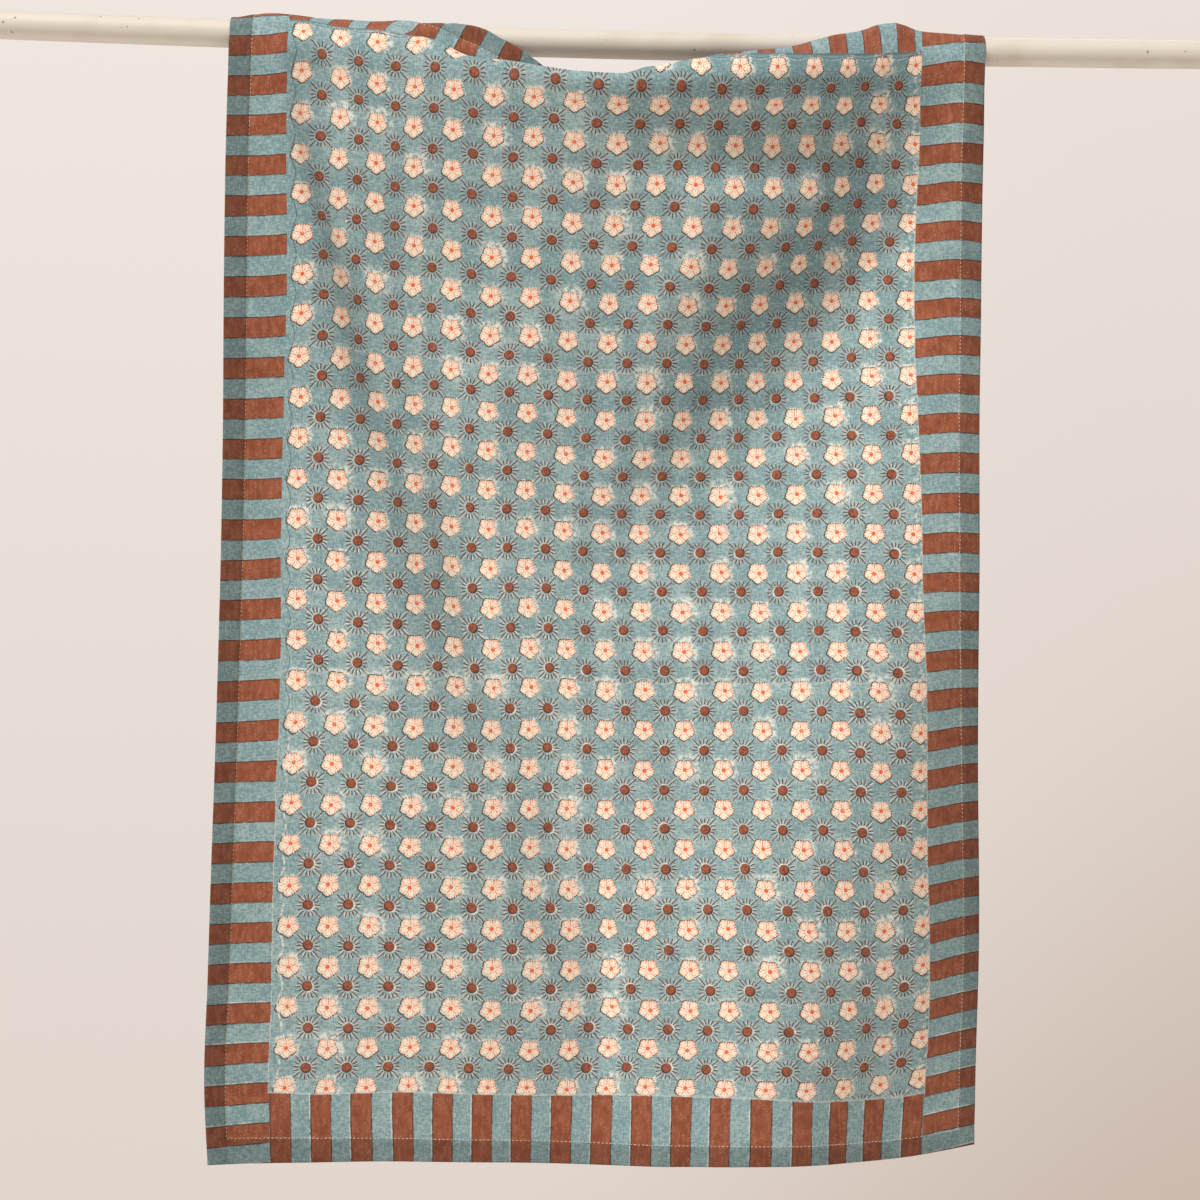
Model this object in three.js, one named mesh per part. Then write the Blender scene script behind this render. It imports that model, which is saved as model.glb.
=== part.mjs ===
// A tea towel hung over a plain round rod, with its top pulled into a sagging fold.
// Millimetres, +Z up, the printed front faces -Y.
// The origin lies on the straight line between the rod's two end faces, at its middle.
import * as THREE from "three";

// Cloth sizes, flat
const towelWidth = 504;
const towelLength = 770;
const hemDepth = 15;
const clothThickness = 1.4;
const hemThickness = 2;

// Rod sizes
const rodRadius = 9;
const rodLength = 840;
const rodBow = 3.6;
const rodSides = 24;
const rodSteps = 14;

// Middle of the cloth's thickness where it lies on the rod, measured from the rod's axis
const seatRadius = 10.6;
const edgeSeatRadius = 10.4;
const seatPasses = 8;
const edgeShares = [0.25, 0.5, 0.75];

// Colours and surfaces
const clothColour = 0x86a6a8;
const rodColour = 0xe6ddcb;
const clothRoughness = 0.95;
const rodRoughness = 0.55;

// The outer edges as they hang: the sides waver, and the bottom rises towards the right
const sideEdges = {
  columns: ["down", "left", "right"],
  rows: [
    [0, -243.5, 234.5],
    [100, -245, 237.5],
    [200, -244.5, 240],
    [300, -243, 239.5],
    [400, -242, 241.5],
    [500, -242, 244.5],
    [650, -244, 250.5],
    [720, -244.5, 250.5],
    [770, -241, 251],
  ],
};
const bottomEdge = {
  columns: ["across", "height"],
  rows: [
    [0, -725],
    [60, -725],
    [120, -722.5],
    [180, -721],
    [300, -719.5],
    [360, -715.5],
    [410, -714],
    [440, -713],
    [460, -711.5],
    [480, -709],
    [504, -705.5],
  ],
};

// Sections through the top of the cloth, from the left hem to the right hem.
// Each row gives where the cloth lies, from the rod's axis, at set distances down from its top hem:
// the hem's edge, its stitching, the middle of the border, the border's inner line and the first row
// of the field. Y is depth, Z is height, below is the height just under them, and lean is how far the
// hem's edge is drawn sideways.
const fieldDistance = 54;
const overRodDistances = [0, hemDepth, 30, 42, fieldDistance];
const belowDistance = 66;
const overRod = {
  columns: [
    "across", "lean",
    "hemY", "stitchY", "borderY", "lineY", "fieldY",
    "hemZ", "stitchZ", "borderZ", "lineZ", "fieldZ", "belowZ",
  ],
  rows: [
    [0, 0, 10.6, 10.6, 6.2, -5.2, -10.8, -20.5, -5.5, 8.6, 8.5, -3.5, -15.5],
    [24, 0, 10.6, 10.7, 6.5, -5, -11, -21, -6, 12.5, 12, -2.5, -14.5],
    [45, 0, 10.6, 10.6, 7, -3.5, -11.5, -20, -4.5, 12, 12, 0, -12],
    [83, 3, 11, 8.5, -3, -12.5, -15.5, -8, 7, 11, 2, -10, -22],
    [111, 5.5, 8.5, -1.5, -13.5, -19, -19, 6, 12, 4, -4, -15.5, -27.5],
    [134, 6.5, 5.5, -8.5, -14.5, -18, -21, 9.5, 4.5, -10, -4, -15.5, -27.5],
    [152, 6.5, -4, -11.5, -14, -18.5, -23, 9.5, -3.5, -18, -13, -17, -28],
    [178, 5.5, -11, -15, -19, -24, -28, -1.5, -15.5, -30, -23.5, -19.5, -31],
    [204, 1.5, -14, -16.5, -21.5, -27, -32, -15, -30, -40, -31.5, -22, -31],
    [232, 0, -16.5, -18.5, -24.5, -30, -35, -36, -48.5, -50.5, -40.5, -27.5, -34],
    [262, 0, -16, -20.5, -26.5, -32, -37, -60, -59, -48, -37.5, -27.5, -36],
    [300, 0, -15, -20, -26.5, -32.5, -38, -60, -46.5, -34.5, -21.5, -24.5, -35.5],
    [340, 0, -14, -18, -24.5, -31.5, -37, -41.5, -29.5, -16, -12.5, -23, -35],
    [375, 0, -13, -16, -22, -28.5, -32.5, -29.5, -16, -4, -9.5, -21.5, -33.5],
    [402, 0, -11.5, -12.5, -17.5, -23.5, -25.5, -13, 0.5, 4.5, -8, -20, -32],
    [428, 0, 3.5, -8, -14.5, -18, -18.5, 11, 13, 6.5, -6.5, -18.5, -30.5],
    [446, 0, 9.5, -3, -11.5, -14, -13, 7, 16.5, 9.5, -4, -16, -28],
    [466, 0, 11, 7.5, -5.5, -11.5, -10.8, -4.5, 9.5, 11, -1, -13, -25],
    [485, 0, 11, 8, -4.5, -12, -12.5, -6, 9, 10.5, 0.5, -11.5, -23.5],
    [504, 0, 10.6, 10.3, -2.8, -10.6, -10.8, -10.5, 3.2, 10.3, -1.5, -13.5, -25.5],
  ],
};

// Level sections through the hanging front, from the top down. Two creases run down the cloth:
// leftCrease and rightCrease say where their valleys lie across it. The other columns are depths
// in Y, from the left hem over both creases to the right hem.
const front = {
  columns: [
    "down", "leftCrease", "rightCrease",
    "hemLeft", "strip", "crest", "valley", "inner", "belly", "brow", "band", "trough", "outer",
    "shoulder", "hemRight",
  ],
  rows: [
    [54, 46, 464, -11, -11, -11, -11, -15, -35, -28, -15, -11, -12, -12, -11],
    [90, 49, 463, -11, -11, -11, -8, -11, -27, -16, 0, -2, -4, -8, -7],
    [140, 64, 457, -11, -11, -11, -2, -4, -17, -8, 13, 12, 8, 4, 2],
    [190, 89, 420, -10, -10, -10, 6, 3, -8, -3, 18, 22, 13, 9, 7],
    [245, 106, 390, -9, -7, -7, 11, 7, 1, 5, 20, 23, 14, 3, 2],
    [300, 130, 348, -8, -4, -4, 15, 8, 8, 8, 19, 22, 16, -2, -6],
    [370, 155, 309, -9, -5, -2, 17, 11, 10, 11, 12, 13, 12, -9, -10],
    [450, 173, 314, -12, -9, -5, 11, 12, 8, 4, 2, -1, -3, -21, -2],
    [550, 205, 319, -13, -11, -10, 4, 11, 6, 1, -4, -10, -22, -20, 9],
    [650, 220, 324, -8, -5, -9, -2, 6, 0, -3, -10, -16, -28, -11, 19],
    [770, 226, 330, -9, 0, 2, 3, 1, -1, -4, -8, -13, -19, 3, 22],
  ],
};

// The sections over the rod run into those of the front between the field's start and frontStart
const frontStart = 90;
const frontNext = 140;

// Widths of the two creases' sides: the most each may reach, and its share of the room it has
const stripReach = { most: 26, share: 0.45 };
const crestReach = { most: 42, share: 0.45 };
const innerReach = { most: 40, share: 0.3 };
const browReach = { most: 75, share: 0.4 };
const bandReach = { most: 24, share: 0.15 };
const outerReach = { most: 38, share: 0.4 };
const shoulderShare = 0.55;

// Mesh steps over the cloth, closer together at the hems and where it turns round the rod
const hemStepWidth = 1.5;
const integrationStep = 2;
const leastSlant = 0.2;
const acrossStretches = {
  columns: ["from", "steps"],
  rows: [
    [0, 2],
    [hemDepth, 1],
    [hemDepth + hemStepWidth, 8],
    [118, 13],
    [214, 13],
    [384, 11],
    [448, 3],
    [towelWidth - hemDepth - hemStepWidth, 1],
    [towelWidth - hemDepth, 2],
  ],
};
const downStretches = {
  columns: ["from", "steps"],
  rows: [
    [0, 4],
    [hemDepth, 1],
    [hemDepth + hemStepWidth, 13],
    [belowDistance, 3],
    [frontStart, 25],
    [towelLength - hemDepth - hemStepWidth, 1],
    [towelLength - hemDepth, 2],
  ],
};

// One named column of a table
function column(table, name) {
  const index = table.columns.indexOf(name);
  return table.rows.map((row) => row[index]);
}

// Smooth curve through the points (positions, values), read at one position
function smooth(positions, values, at) {
  const last = positions.length - 1;
  const inside = Math.min(Math.max(at, positions[0]), positions[last]);
  let i = 0;
  while (i < last - 1 && positions[i + 1] < inside) i += 1;
  const step = (k) => positions[k + 1] - positions[k];
  const slope = (k) => (values[k + 1] - values[k]) / step(k);
  const tangent = (k) => {
    if (k === 0) return slope(0);
    if (k === last) return slope(last - 1);
    return (slope(k - 1) * step(k) + slope(k) * step(k - 1)) / (step(k - 1) + step(k));
  };
  const h = step(i);
  const t = (inside - positions[i]) / h;
  const start = values[i] * (1 + 2 * t) * (1 - t) ** 2 + tangent(i) * h * t * (1 - t) ** 2;
  const end = values[i + 1] * (3 - 2 * t) * t ** 2 - tangent(i + 1) * h * t ** 2 * (1 - t);
  return start + end;
}

function reach(limits, room) {
  return Math.min(limits.most, limits.share * room);
}

// Where the depth columns of one front section lie across the cloth
function frontPositions(leftCrease, rightCrease) {
  const strip = reach(stripReach, leftCrease);
  const between = rightCrease - leftCrease;
  const inner = leftCrease + reach(innerReach, between);
  const brow = rightCrease - reach(browReach, between);
  const outer = rightCrease + reach(outerReach, towelWidth - rightCrease);
  return [
    0,
    strip,
    leftCrease - reach(crestReach, leftCrease - strip),
    leftCrease,
    inner,
    (inner + brow) / 2,
    brow,
    rightCrease - reach(bandReach, between),
    rightCrease,
    outer,
    outer + shoulderShare * (towelWidth - outer),
    towelWidth,
  ];
}

// One level section of the front: the crease positions and depths of the table, read between rows
function frontSection(down) {
  const at = (name) => smooth(column(front, "down"), column(front, name), down);
  const depths = front.columns.slice(3).map(at);
  return { positions: frontPositions(at("leftCrease"), at("rightCrease")), depths };
}

const knownSections = new Map();

function frontDepth(across, down) {
  if (!knownSections.has(down)) knownSections.set(down, frontSection(down));
  const { positions, depths } = knownSections.get(down);
  return smooth(positions, depths, across);
}

// Drop of the rod's axis below the line between its ends
function rodDrop(x) {
  const fromMiddle = x / (rodLength / 2);
  return rodBow * (1 - fromMiddle ** 2);
}

// Everything that stays the same down one line of the cloth
function lineDown(across) {
  const at = (name) => smooth(column(overRod, "across"), column(overRod, name), across);
  const topDepths = ["hemY", "stitchY", "borderY", "lineY", "fieldY"].map(at);
  const topHeights = ["hemZ", "stitchZ", "borderZ", "lineZ", "fieldZ", "belowZ"].map(at);
  const topCurve = [...topDepths, frontDepth(across, frontStart), frontDepth(across, frontNext)];
  const topDepthAt = (down) => {
    return smooth([...overRodDistances, frontStart, frontNext], topCurve, down);
  };
  const depthAt = (down) => {
    if (down <= fieldDistance) return topDepthAt(down);
    if (down >= frontStart) return frontDepth(across, down);
    const share = (down - fieldDistance) / (frontStart - fieldDistance);
    const eased = share * share * (3 - 2 * share);
    return topDepthAt(down) * (1 - eased) + frontDepth(across, down) * eased;
  };
  const bottom = smooth(column(bottomEdge, "across"), column(bottomEdge, "height"), across);

  // Below the rod the cloth keeps its length: depth changes shorten its drop
  const count = Math.round((towelLength - belowDistance) / integrationStep);
  const drops = [0];
  for (let k = 0; k < count; k += 1) {
    const down = belowDistance + k * integrationStep;
    const change = (depthAt(down + integrationStep) - depthAt(down)) / integrationStep;
    drops.push(drops[k] + integrationStep * Math.sqrt(Math.max(1 - change ** 2, leastSlant ** 2)));
  }
  const fullDrop = drops[count];
  return { across, lean: at("lean"), depthAt, topHeights, bottom, drops, fullDrop };
}

function heightAt(line, down, rodHeight) {
  if (down <= belowDistance) {
    return rodHeight + smooth([...overRodDistances, belowDistance], line.topHeights, down);
  }
  const place = (down - belowDistance) / integrationStep;
  const k = Math.min(Math.floor(place), line.drops.length - 2);
  const drop = line.drops[k] + (line.drops[k + 1] - line.drops[k]) * (place - k);
  const start = rodHeight + line.topHeights[line.topHeights.length - 1];
  return start + ((line.bottom - start) * drop) / line.fullDrop;
}

// Mesh lines: each stretch is cut into equal steps
function meshLines(stretches, end) {
  const starts = column(stretches, "from");
  const counts = column(stretches, "steps");
  const lines = [];
  starts.forEach((from, k) => {
    const to = k + 1 < starts.length ? starts[k + 1] : end;
    for (let n = 0; n < counts[k]; n += 1) lines.push(from + ((to - from) * n) / counts[k]);
  });
  return [...lines, end];
}

const acrossLines = meshLines(acrossStretches, towelWidth);
const downLines = meshLines(downStretches, towelLength);

// Middle of the cloth's thickness: rows down, points across
function clothPoints() {
  const lines = acrossLines.map(lineDown);
  return downLines.map((down) => {
    const level = Math.max(down, belowDistance);
    const widths = [0];
    for (let i = 1; i < lines.length; i += 1) {
      const step = lines[i].across - lines[i - 1].across;
      const change = (lines[i].depthAt(level) - lines[i - 1].depthAt(level)) / step;
      widths.push(widths[i - 1] + step * Math.sqrt(Math.max(1 - change ** 2, leastSlant ** 2)));
    }
    const sideAt = (name) => smooth(column(sideEdges, "down"), column(sideEdges, name), level);
    const leftEdge = sideAt("left");
    const fit = (sideAt("right") - leftEdge) / widths[widths.length - 1];
    const drawn = Math.max(1 - down / fieldDistance, 0);
    return lines.map((line, i) => {
      const x = leftEdge + widths[i] * fit + line.lean * drawn;
      return new THREE.Vector3(x, line.depthAt(down), heightAt(line, down, -rodDrop(x)));
    });
  });
}

function distanceFromRod(point) {
  return Math.hypot(point.y, point.z + rodDrop(point.x));
}

function pushFromRod(point, by) {
  const distance = distanceFromRod(point);
  point.y *= (distance + by) / distance;
  point.z = ((point.z + rodDrop(point.x)) * (distance + by)) / distance - rodDrop(point.x);
}

// Where the cloth would cut into the rod, each point and each mesh edge is moved out to its seat
function seatOnRod(points) {
  const nearRows = points.slice(0, downLines.findIndex((down) => down > belowDistance));
  const onEdge = new THREE.Vector3();
  for (const point of nearRows.flat()) {
    pushFromRod(point, Math.max(seatRadius - distanceFromRod(point), 0));
  }
  for (let pass = 0; pass < seatPasses; pass += 1) {
    nearRows.forEach((row, j) => {
      row.forEach((point, i) => {
        const above = j > 0 ? nearRows[j - 1] : [];
        const neighbours = [row[i - 1], above[i], above[i - 1]].filter(Boolean);
        for (const neighbour of neighbours) {
          const shortfalls = edgeShares.map((share) => {
            onEdge.lerpVectors(point, neighbour, share);
            return edgeSeatRadius - distanceFromRod(onEdge);
          });
          const by = Math.max(...shortfalls, 0);
          pushFromRod(point, by);
          pushFromRod(neighbour, by);
        }
      });
    });
  }
  return points;
}

function thicknessAt(across, down) {
  const fromSide = Math.min(across, towelWidth - across);
  const fromEnd = Math.min(down, towelLength - down);
  return Math.min(fromSide, fromEnd) <= hemDepth ? hemThickness : clothThickness;
}

// The cloth as one closed sheet of two skins and a rim
function clothGeometry() {
  const points = seatOnRod(clothPoints());
  const rows = downLines.length;
  const columns = acrossLines.length;
  const positions = [];
  const normal = new THREE.Vector3();
  const alongAcross = new THREE.Vector3();
  const alongDown = new THREE.Vector3();
  for (const side of [1, -1]) {
    for (let j = 0; j < rows; j += 1) {
      for (let i = 0; i < columns; i += 1) {
        const before = points[j][Math.max(i - 1, 0)];
        const after = points[j][Math.min(i + 1, columns - 1)];
        const above = points[Math.max(j - 1, 0)][i];
        const under = points[Math.min(j + 1, rows - 1)][i];
        alongAcross.subVectors(after, before);
        alongDown.subVectors(under, above);
        normal.crossVectors(alongDown, alongAcross).normalize();
        const half = (thicknessAt(acrossLines[i], downLines[j]) / 2) * side;
        positions.push(...points[j][i].clone().addScaledVector(normal, half).toArray());
      }
    }
  }

  const faces = [];
  const skin = rows * columns;
  const vertex = (side, j, i) => side * skin + j * columns + i;
  for (let j = 0; j < rows - 1; j += 1) {
    for (let i = 0; i < columns - 1; i += 1) {
      const frontSkin = [
        vertex(0, j, i),
        vertex(0, j + 1, i),
        vertex(0, j + 1, i + 1),
        vertex(0, j, i + 1),
      ];
      const backSkin = [
        vertex(1, j, i),
        vertex(1, j, i + 1),
        vertex(1, j + 1, i + 1),
        vertex(1, j + 1, i),
      ];
      for (const [a, b, c, d] of [frontSkin, backSkin]) faces.push(a, b, c, a, c, d);
    }
  }
  const rim = [];
  for (let i = 0; i < columns - 1; i += 1) rim.push([0, i]);
  for (let j = 0; j < rows - 1; j += 1) rim.push([j, columns - 1]);
  for (let i = columns - 1; i > 0; i -= 1) rim.push([rows - 1, i]);
  for (let j = rows - 1; j > 0; j -= 1) rim.push([j, 0]);
  rim.forEach(([j, i], k) => {
    const [nextJ, nextI] = rim[(k + 1) % rim.length];
    const a = vertex(0, j, i);
    const b = vertex(0, nextJ, nextI);
    const c = vertex(1, nextJ, nextI);
    const d = vertex(1, j, i);
    faces.push(a, b, c, a, c, d);
  });

  const geometry = new THREE.BufferGeometry();
  geometry.setAttribute("position", new THREE.Float32BufferAttribute(positions, 3));
  geometry.setIndex(faces);
  geometry.computeVertexNormals();
  return geometry;
}

// The rod, bowed a little by its own length
function rodGeometry() {
  const geometry = new THREE.CylinderGeometry(rodRadius, rodRadius, rodLength, rodSides, rodSteps);
  geometry.rotateZ(Math.PI / 2);
  const place = geometry.getAttribute("position");
  for (let k = 0; k < place.count; k += 1) {
    place.setZ(k, place.getZ(k) - rodDrop(place.getX(k)));
  }
  geometry.computeVertexNormals();
  return geometry;
}

const towel = new THREE.Mesh(
  clothGeometry(),
  new THREE.MeshStandardMaterial({
    color: clothColour,
    roughness: clothRoughness,
    metalness: 0,
    side: THREE.DoubleSide,
  }),
);
towel.name = "towel";

const rod = new THREE.Mesh(
  rodGeometry(),
  new THREE.MeshStandardMaterial({ color: rodColour, roughness: rodRoughness, metalness: 0 }),
);
rod.name = "rod";

const teaTowelOnRod = new THREE.Group();
teaTowelOnRod.add(towel, rod);

export default teaTowelOnRod;
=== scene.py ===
"""A block-printed tea towel hung over a plain painted rod, in metres, +Z up, its front facing -Y."""
import math

import bpy
import numpy as np
from mathutils import Matrix, Vector


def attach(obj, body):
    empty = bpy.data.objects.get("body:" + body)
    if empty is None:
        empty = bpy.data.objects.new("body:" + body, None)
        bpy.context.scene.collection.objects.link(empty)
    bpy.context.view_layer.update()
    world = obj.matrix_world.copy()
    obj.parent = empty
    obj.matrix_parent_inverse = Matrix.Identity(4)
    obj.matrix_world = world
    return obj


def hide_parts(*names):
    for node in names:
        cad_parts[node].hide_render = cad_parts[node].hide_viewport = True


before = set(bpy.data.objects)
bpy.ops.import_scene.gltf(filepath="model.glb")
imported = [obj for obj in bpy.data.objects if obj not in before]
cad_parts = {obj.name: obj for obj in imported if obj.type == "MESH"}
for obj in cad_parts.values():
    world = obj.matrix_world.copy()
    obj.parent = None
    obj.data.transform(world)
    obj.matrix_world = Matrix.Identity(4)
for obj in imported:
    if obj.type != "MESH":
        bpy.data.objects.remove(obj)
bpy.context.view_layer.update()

MM = 0.001
TURN = 2 * math.pi

# Cloth sizes in millimetres: flat width, length and hems as in the solid, which is thicker
TOWEL_WIDTH = 504
TOWEL_LENGTH = 770
HEM_DEPTH = 15
CLOTH_THICKNESS = 0.6
HEM_THICKNESS = 1.5

# Rod sizes, in millimetres
ROD_RADIUS = 9
ROD_LENGTH = 840
ROD_BOW = 3.6

# Camera, in millimetres and degrees: the photograph is 768 mm wide where the rod is
CAMERA_DISTANCE = 1800
CAMERA_HEIGHT = -359
FRAME_WIDTH = 768
CAMERA_ROLL = 1.41
SENSOR_WIDTH = 36


# Camera


def make_camera():
    data = bpy.data.cameras.new("camera")
    data.sensor_width = SENSOR_WIDTH
    data.lens = SENSOR_WIDTH * CAMERA_DISTANCE / FRAME_WIDTH
    camera = bpy.data.objects.new("camera", data)
    bpy.context.scene.collection.objects.link(camera)
    level = Matrix.Rotation(math.radians(90), 4, "X")
    roll = Matrix.Rotation(math.radians(CAMERA_ROLL), 4, "Z")
    place = Matrix.Translation(Vector((0, -CAMERA_DISTANCE, CAMERA_HEIGHT)) * MM)
    camera.matrix_world = place @ level @ roll
    bpy.context.scene.camera = camera


# The hanging shape: the same tables as the solid's, in millimetres

SIDE_EDGES = {
    "down": (0, 100, 200, 300, 400, 500, 650, 720, 770),
    "left": (-243.5, -245, -244.5, -243, -242, -242, -244, -244.5, -241),
    "right": (234.5, 237.5, 240, 239.5, 241.5, 244.5, 250.5, 250.5, 251),
}
BOTTOM_EDGE = {
    "across": (0, 60, 120, 180, 300, 360, 410, 440, 460, 480, 504),
    "height": (-725, -725, -722.5, -721, -719.5, -715.5, -714, -713, -711.5, -709, -705.5),
}

# Sections through the top of the cloth, from the left hem to the right: where the hem's edge, its
# stitching, the border's middle, its inner line and the field's first row lie from the rod's axis
FIELD_DISTANCE = 54
OVER_ROD_DISTANCES = (0, HEM_DEPTH, 30, 42, FIELD_DISTANCE)
BELOW_DISTANCE = 66
DEPTH_COLUMNS = ("hem_y", "stitch_y", "border_y", "line_y", "field_y")
HEIGHT_COLUMNS = ("hem_z", "stitch_z", "border_z", "line_z", "field_z", "below_z")
OVER_ROD_COLUMNS = ("across", "lean", *DEPTH_COLUMNS, *HEIGHT_COLUMNS)
OVER_ROD_ROWS = (
    (0, 0, 10.6, 10.6, 6.2, -5.2, -10.8, -20.5, -5.5, 8.6, 8.5, -3.5, -15.5),
    (24, 0, 10.6, 10.7, 6.5, -5, -11, -21, -6, 12.5, 12, -2.5, -14.5),
    (45, 0, 10.6, 10.6, 7, -3.5, -11.5, -20, -4.5, 12, 12, 0, -12),
    (83, 3, 11, 8.5, -3, -12.5, -15.5, -8, 7, 11, 2, -10, -22),
    (111, 5.5, 8.5, -1.5, -13.5, -19, -19, 6, 12, 4, -4, -15.5, -27.5),
    (134, 6.5, 5.5, -8.5, -14.5, -18, -21, 9.5, 4.5, -10, -4, -15.5, -27.5),
    (152, 6.5, -4, -11.5, -14, -18.5, -23, 9.5, -3.5, -18, -13, -17, -28),
    (178, 5.5, -11, -15, -19, -24, -28, -1.5, -15.5, -30, -23.5, -19.5, -31),
    (204, 1.5, -14, -16.5, -21.5, -27, -32, -15, -30, -40, -31.5, -22, -31),
    (232, 0, -16.5, -18.5, -24.5, -30, -35, -36, -48.5, -50.5, -40.5, -27.5, -34),
    (262, 0, -16, -20.5, -26.5, -32, -37, -60, -59, -48, -37.5, -27.5, -36),
    (300, 0, -15, -20, -26.5, -32.5, -38, -60, -46.5, -34.5, -21.5, -24.5, -35.5),
    (340, 0, -14, -18, -24.5, -31.5, -37, -41.5, -29.5, -16, -12.5, -23, -35),
    (375, 0, -13, -16, -22, -28.5, -32.5, -29.5, -16, -4, -9.5, -21.5, -33.5),
    (402, 0, -11.5, -12.5, -17.5, -23.5, -25.5, -13, 0.5, 4.5, -8, -20, -32),
    (428, 0, 3.5, -8, -14.5, -18, -18.5, 11, 13, 6.5, -6.5, -18.5, -30.5),
    (446, 0, 9.5, -3, -11.5, -14, -13, 7, 16.5, 9.5, -4, -16, -28),
    (466, 0, 11, 7.5, -5.5, -11.5, -10.8, -4.5, 9.5, 11, -1, -13, -25),
    (485, 0, 11, 8, -4.5, -12, -12.5, -6, 9, 10.5, 0.5, -11.5, -23.5),
    (504, 0, 10.6, 10.3, -2.8, -10.6, -10.8, -10.5, 3.2, 10.3, -1.5, -13.5, -25.5),
)

# Level sections through the hanging front: where two creases run down it, and depths. The depths
# are a program's fit to the photograph's shading and motifs, rounded to whole millimetres, and the
# first three rows were changed afterwards. The creases' places are interpolated from listed readings.
FRONT_START = 90
FRONT_NEXT = 140
FRONT_COLUMNS = (
    "down", "left_crease", "right_crease",
    "hem_left", "strip", "crest", "valley", "inner", "belly", "brow", "band", "trough", "outer",
    "shoulder", "hem_right",
)
FRONT_ROWS = (
    (54, 46, 464, -11, -11, -11, -11, -15, -35, -28, -15, -11, -12, -12, -11),
    (90, 49, 463, -11, -11, -11, -8, -11, -27, -16, 0, -2, -4, -8, -7),
    (140, 64, 457, -11, -11, -11, -2, -4, -17, -8, 13, 12, 8, 4, 2),
    (190, 89, 420, -10, -10, -10, 6, 3, -8, -3, 18, 22, 13, 9, 7),
    (245, 106, 390, -9, -7, -7, 11, 7, 1, 5, 20, 23, 14, 3, 2),
    (300, 130, 348, -8, -4, -4, 15, 8, 8, 8, 19, 22, 16, -2, -6),
    (370, 155, 309, -9, -5, -2, 17, 11, 10, 11, 12, 13, 12, -9, -10),
    (450, 173, 314, -12, -9, -5, 11, 12, 8, 4, 2, -1, -3, -21, -2),
    (550, 205, 319, -13, -11, -10, 4, 11, 6, 1, -4, -10, -22, -20, 9),
    (650, 220, 324, -8, -5, -9, -2, 6, 0, -3, -10, -16, -28, -11, 19),
    (770, 226, 330, -9, 0, 2, 3, 1, -1, -4, -8, -13, -19, 3, 22),
)
DEPTH_NAMES = FRONT_COLUMNS[3:]

# Widths of the creases' sides: the most each may reach, and its share of the room it has
REACHES = {
    "strip": (26, 0.45),
    "crest": (42, 0.45),
    "inner": (40, 0.3),
    "brow": (75, 0.4),
    "band": (24, 0.15),
    "outer": (38, 0.4),
}
SHOULDER_SHARE = 0.55

# Small creases that the solid leaves out, in millimetres on the flat cloth: from across and down,
# to across and down, width, and rise, which is below 0 for a trough
SMALL_CREASES = (
    (16, 62, 14, 190, 10, 0.8),
    (38, 40, 36, 190, 7, 0.8),
    (57, 42, 62, 200, 12, -1.0),
    (40, 72, 470, 66, 50, 4.0),
    (200, 64, 510, 38, 12, 4.5),
    (215, 112, 500, 92, 20, -7.5),
    (444, 46, 410, 180, 13, 1.5),
    (468, 44, 456, 200, 8, -1.5),
    (490, 46, 486, 200, 11, 1.5),
    (335, 98, 262, 285, 17, 3.5),
    (385, 112, 305, 310, 16, -2.6),
    (66, 60, 178, 520, 10, 2.8),
    (94, 56, 203, 510, 11, -3.0),
    (176, 450, 206, 760, 10, 1.4),
    (203, 440, 234, 750, 10, -1.4),
    (250, 330, 300, 430, 14, -0.8),
    (300, 560, 285, 700, 16, 0.9),
    (120, 640, 95, 740, 14, -0.8),
    (400, 620, 425, 745, 16, 1.0),
    (360, 250, 330, 330, 9, 0.8),
)


def table_columns(names, rows):
    """Rows of numbers as a dict of named columns."""
    return {name: np.array(values, float) for name, values in zip(names, zip(*rows))}


OVER_ROD = table_columns(OVER_ROD_COLUMNS, OVER_ROD_ROWS)
FRONT = table_columns(FRONT_COLUMNS, FRONT_ROWS)


def smooth(positions, values, at):
    """Smooth curve through (positions, values). Values may hold one curve a column."""
    positions = np.asarray(positions, float)
    values = np.asarray(values, float)
    at = np.clip(np.asarray(at, float), positions[0], positions[-1])
    steps = np.diff(positions)
    shape = (-1,) + (1,) * (values.ndim - 1)
    slopes = np.diff(values, axis=0) / steps.reshape(shape)
    before = steps[:-1].reshape(shape)
    after = steps[1:].reshape(shape)
    inner = (slopes[:-1] * after + slopes[1:] * before) / (before + after)
    tangents = np.concatenate([slopes[:1], inner, slopes[-1:]])
    k = np.clip(np.searchsorted(positions, at) - 1, 0, len(steps) - 1)
    t = (at - positions[k]) / steps[k]
    h = steps[k]
    if values.ndim > 1:
        t = t[..., None]
        h = h[..., None]
    start = values[k] * (1 + 2 * t) * (1 - t) ** 2 + tangents[k] * h * t * (1 - t) ** 2
    end = values[k + 1] * (3 - 2 * t) * t ** 2 - tangents[k + 1] * h * t ** 2 * (1 - t)
    return start + end


def reach(name, room):
    most, share = REACHES[name]
    return min(most, share * room)


def front_positions(left_crease, right_crease):
    """Where the depths of one front section lie across the cloth."""
    between = right_crease - left_crease
    strip = reach("strip", left_crease)
    inner = left_crease + reach("inner", between)
    brow = right_crease - reach("brow", between)
    outer = right_crease + reach("outer", TOWEL_WIDTH - right_crease)
    return [
        0,
        strip,
        left_crease - reach("crest", left_crease - strip),
        left_crease,
        inner,
        (inner + brow) / 2,
        brow,
        right_crease - reach("band", between),
        right_crease,
        outer,
        outer + SHOULDER_SHARE * (TOWEL_WIDTH - outer),
        TOWEL_WIDTH,
    ]


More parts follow.
